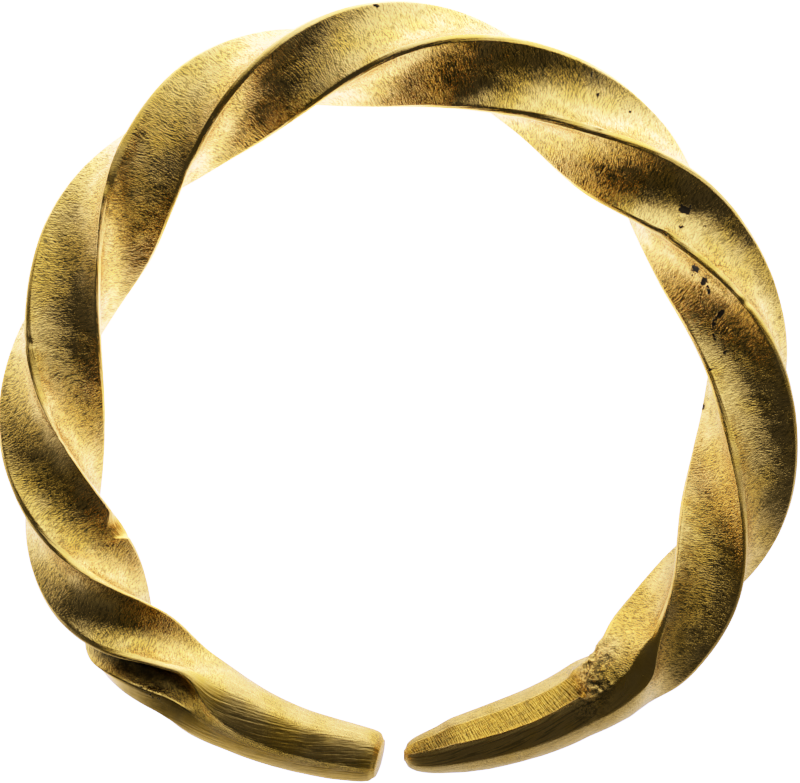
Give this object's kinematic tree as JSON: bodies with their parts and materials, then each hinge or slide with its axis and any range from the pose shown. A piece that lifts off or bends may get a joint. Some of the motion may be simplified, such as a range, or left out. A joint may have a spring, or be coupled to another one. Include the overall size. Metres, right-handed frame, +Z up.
{
  "type": "ring money",
  "caption": "Open ring bent from a twisted, flanged gold bar with plain tapered ends that nearly meet.",
  "frame": {"origin": "on the ground under the middle of the ring's outline", "axes": "+Z up, through the hole of the ring lying flat; -Y towards the gap between its two ends; +X towards the blunt tip's side"},
  "size_m": [0.028, 0.0274, 0.0037],
  "materials": {
    "gold": "satin, hammered and twisted, with fine scratches"
  },
  "bodies": {
    "root": {"twisted_ring": "gold"}
  },
  "joints": []
}
